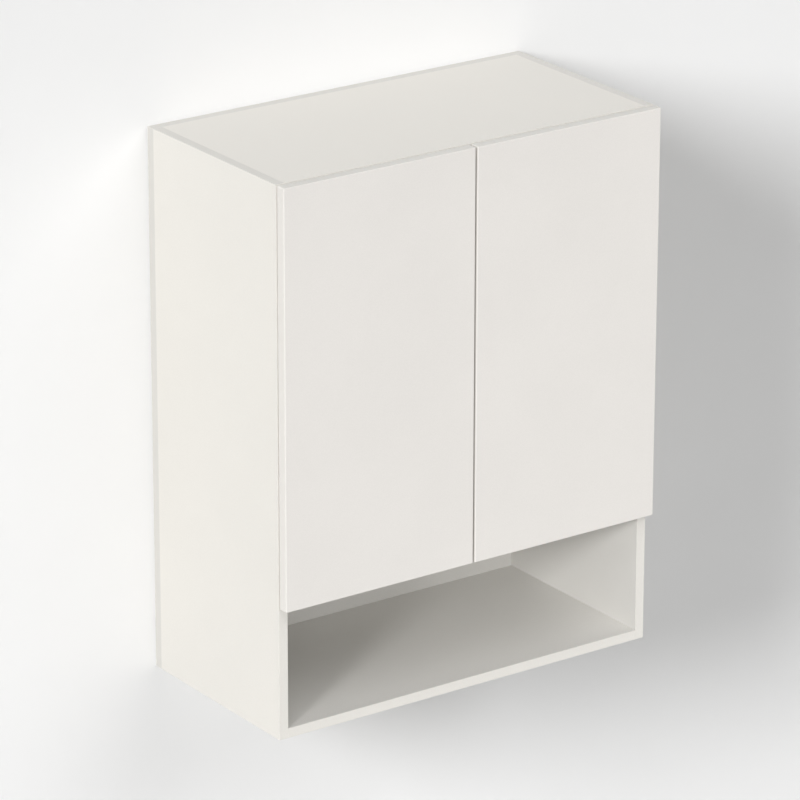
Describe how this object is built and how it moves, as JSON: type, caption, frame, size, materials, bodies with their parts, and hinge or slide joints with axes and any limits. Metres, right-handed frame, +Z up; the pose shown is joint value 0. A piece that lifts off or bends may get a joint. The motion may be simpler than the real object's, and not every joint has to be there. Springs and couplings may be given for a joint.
{
  "type": "hanging wall cabinet",
  "caption": "Wall-hung storage cabinet with a pair of flat handleless doors over shelves, and an open niche below them.",
  "frame": {"origin": "centre of the back panel's rear face, on the wall plane", "axes": "+X to the right across the front, +Y into the wall (the doors face -Y), +Z up"},
  "size_m": [0.7, 0.37, 0.892],
  "materials": {
    "melamine_board": "warm off-white melamine facing on chipboard, satin",
    "edge_band": "1 mm plastic edge band, slightly greyer than the board",
    "door_front": "satin foil-wrapped board with rounded edges",
    "nickel_plate": "nickel-plated steel, semi-bright",
    "zinc_steel": "zinc-plated pressed steel",
    "latch_plastic": "moulded light grey plastic",
    "bumper": "soft clear silicone pad"
  },
  "bodies": {
    "carcass": {"left_side_panel": "melamine_board", "right_side_panel": "melamine_board", "top_panel": "melamine_board", "bottom_panel": "melamine_board", "fixed_shelf": "melamine_board", "back_panel": "melamine_board", "left_side_edge_band": "edge_band", "right_side_edge_band": "edge_band", "top_edge_band": "edge_band", "fixed_shelf_edge_band": "edge_band", "bottom_edge_band": "edge_band", "lower_shelf": "melamine_board", "lower_shelf_edge_band": "edge_band", "upper_shelf": "melamine_board", "upper_shelf_edge_band": "edge_band", "lower_shelf_pin_front_left": "nickel_plate", "lower_shelf_pin_front_right": "nickel_plate", "lower_shelf_pin_rear_left": "nickel_plate", "lower_shelf_pin_rear_right": "nickel_plate", "upper_shelf_pin_front_left": "nickel_plate", "upper_shelf_pin_front_right": "nickel_plate", "upper_shelf_pin_rear_left": "nickel_plate", "upper_shelf_pin_rear_right": "nickel_plate", "left_hanging_plate": "zinc_steel", "right_hanging_plate": "zinc_steel", "left_latch_housing": "latch_plastic", "right_latch_housing": "latch_plastic", "left_upper_hinge_plate": "zinc_steel", "left_upper_hinge_arm": "nickel_plate", "left_lower_hinge_plate": "zinc_steel", "left_lower_hinge_arm": "nickel_plate", "right_upper_hinge_plate": "zinc_steel", "right_upper_hinge_arm": "nickel_plate", "right_lower_hinge_plate": "zinc_steel", "right_lower_hinge_arm": "nickel_plate"},
    "left_outer_links": {"left_upper_hinge_outer_link": "zinc_steel", "left_lower_hinge_outer_link": "zinc_steel"},
    "left_door": {"left_door": "door_front", "left_upper_hinge_cup": "nickel_plate", "left_lower_hinge_cup": "nickel_plate", "left_door_upper_bumper": "bumper", "left_door_lower_bumper": "bumper", "left_strike_plate": "zinc_steel"},
    "left_inner_links": {"left_upper_hinge_inner_link": "zinc_steel", "left_lower_hinge_inner_link": "zinc_steel"},
    "left_plunger": {"left_latch_plunger": "latch_plastic"},
    "right_outer_links": {"right_upper_hinge_outer_link": "zinc_steel", "right_lower_hinge_outer_link": "zinc_steel"},
    "right_door": {"right_door": "door_front", "right_upper_hinge_cup": "nickel_plate", "right_lower_hinge_cup": "nickel_plate", "right_door_upper_bumper": "bumper", "right_door_lower_bumper": "bumper", "right_strike_plate": "zinc_steel"},
    "right_inner_links": {"right_upper_hinge_inner_link": "zinc_steel", "right_lower_hinge_inner_link": "zinc_steel"},
    "right_plunger": {"right_latch_plunger": "latch_plastic"}
  },
  "joints": [
    {"name": "left_outer_link_swing", "type": "hinge", "parent": "carcass", "child": "left_outer_links", "pos_m": [-0.316, -0.3519, 0.1085], "axis": [0, 0, 1], "range_deg": [0, 15.1]},
    {"name": "left_door_swing", "type": "hinge", "parent": "left_outer_links", "child": "left_door", "pos_m": [-0.3405, -0.358, 0.1085], "axis": [0, 0, -1], "range_deg": [0, 115]},
    {"name": "left_inner_link_swing", "type": "hinge", "parent": "carcass", "child": "left_inner_links", "pos_m": [-0.317, -0.3474, 0.1085], "axis": [0, 0, 1], "range_deg": [0, 29.1]},
    {"name": "left_plunger_slide", "type": "slide", "parent": "carcass", "child": "left_plunger", "axis": [0, -1, 0], "range_m": [0, 0.0141]},
    {"name": "right_outer_link_swing", "type": "hinge", "parent": "carcass", "child": "right_outer_links", "pos_m": [0.316, -0.3519, 0.1085], "axis": [0, 0, -1], "range_deg": [0, 15.1]},
    {"name": "right_door_swing", "type": "hinge", "parent": "right_outer_links", "child": "right_door", "pos_m": [0.3405, -0.358, 0.1085], "axis": [0, 0, 1], "range_deg": [0, 115]},
    {"name": "right_inner_link_swing", "type": "hinge", "parent": "carcass", "child": "right_inner_links", "pos_m": [0.317, -0.3474, 0.1085], "axis": [0, 0, -1], "range_deg": [0, 29.1]},
    {"name": "right_plunger_slide", "type": "slide", "parent": "carcass", "child": "right_plunger", "axis": [0, -1, 0], "range_m": [0, 0.0141]}
  ],
  "couplings": [
    {"joint": "left_outer_link_swing", "follows": "left_door_swing", "ratio": 0.13043},
    {"joint": "left_inner_link_swing", "follows": "left_door_swing", "ratio": 0.25217},
    {"joint": "left_plunger_slide", "follows": "left_door_swing", "m_per_rad": 0.00697},
    {"joint": "right_outer_link_swing", "follows": "right_door_swing", "ratio": 0.13043},
    {"joint": "right_inner_link_swing", "follows": "right_door_swing", "ratio": 0.25217},
    {"joint": "right_plunger_slide", "follows": "right_door_swing", "m_per_rad": 0.00697}
  ]
}
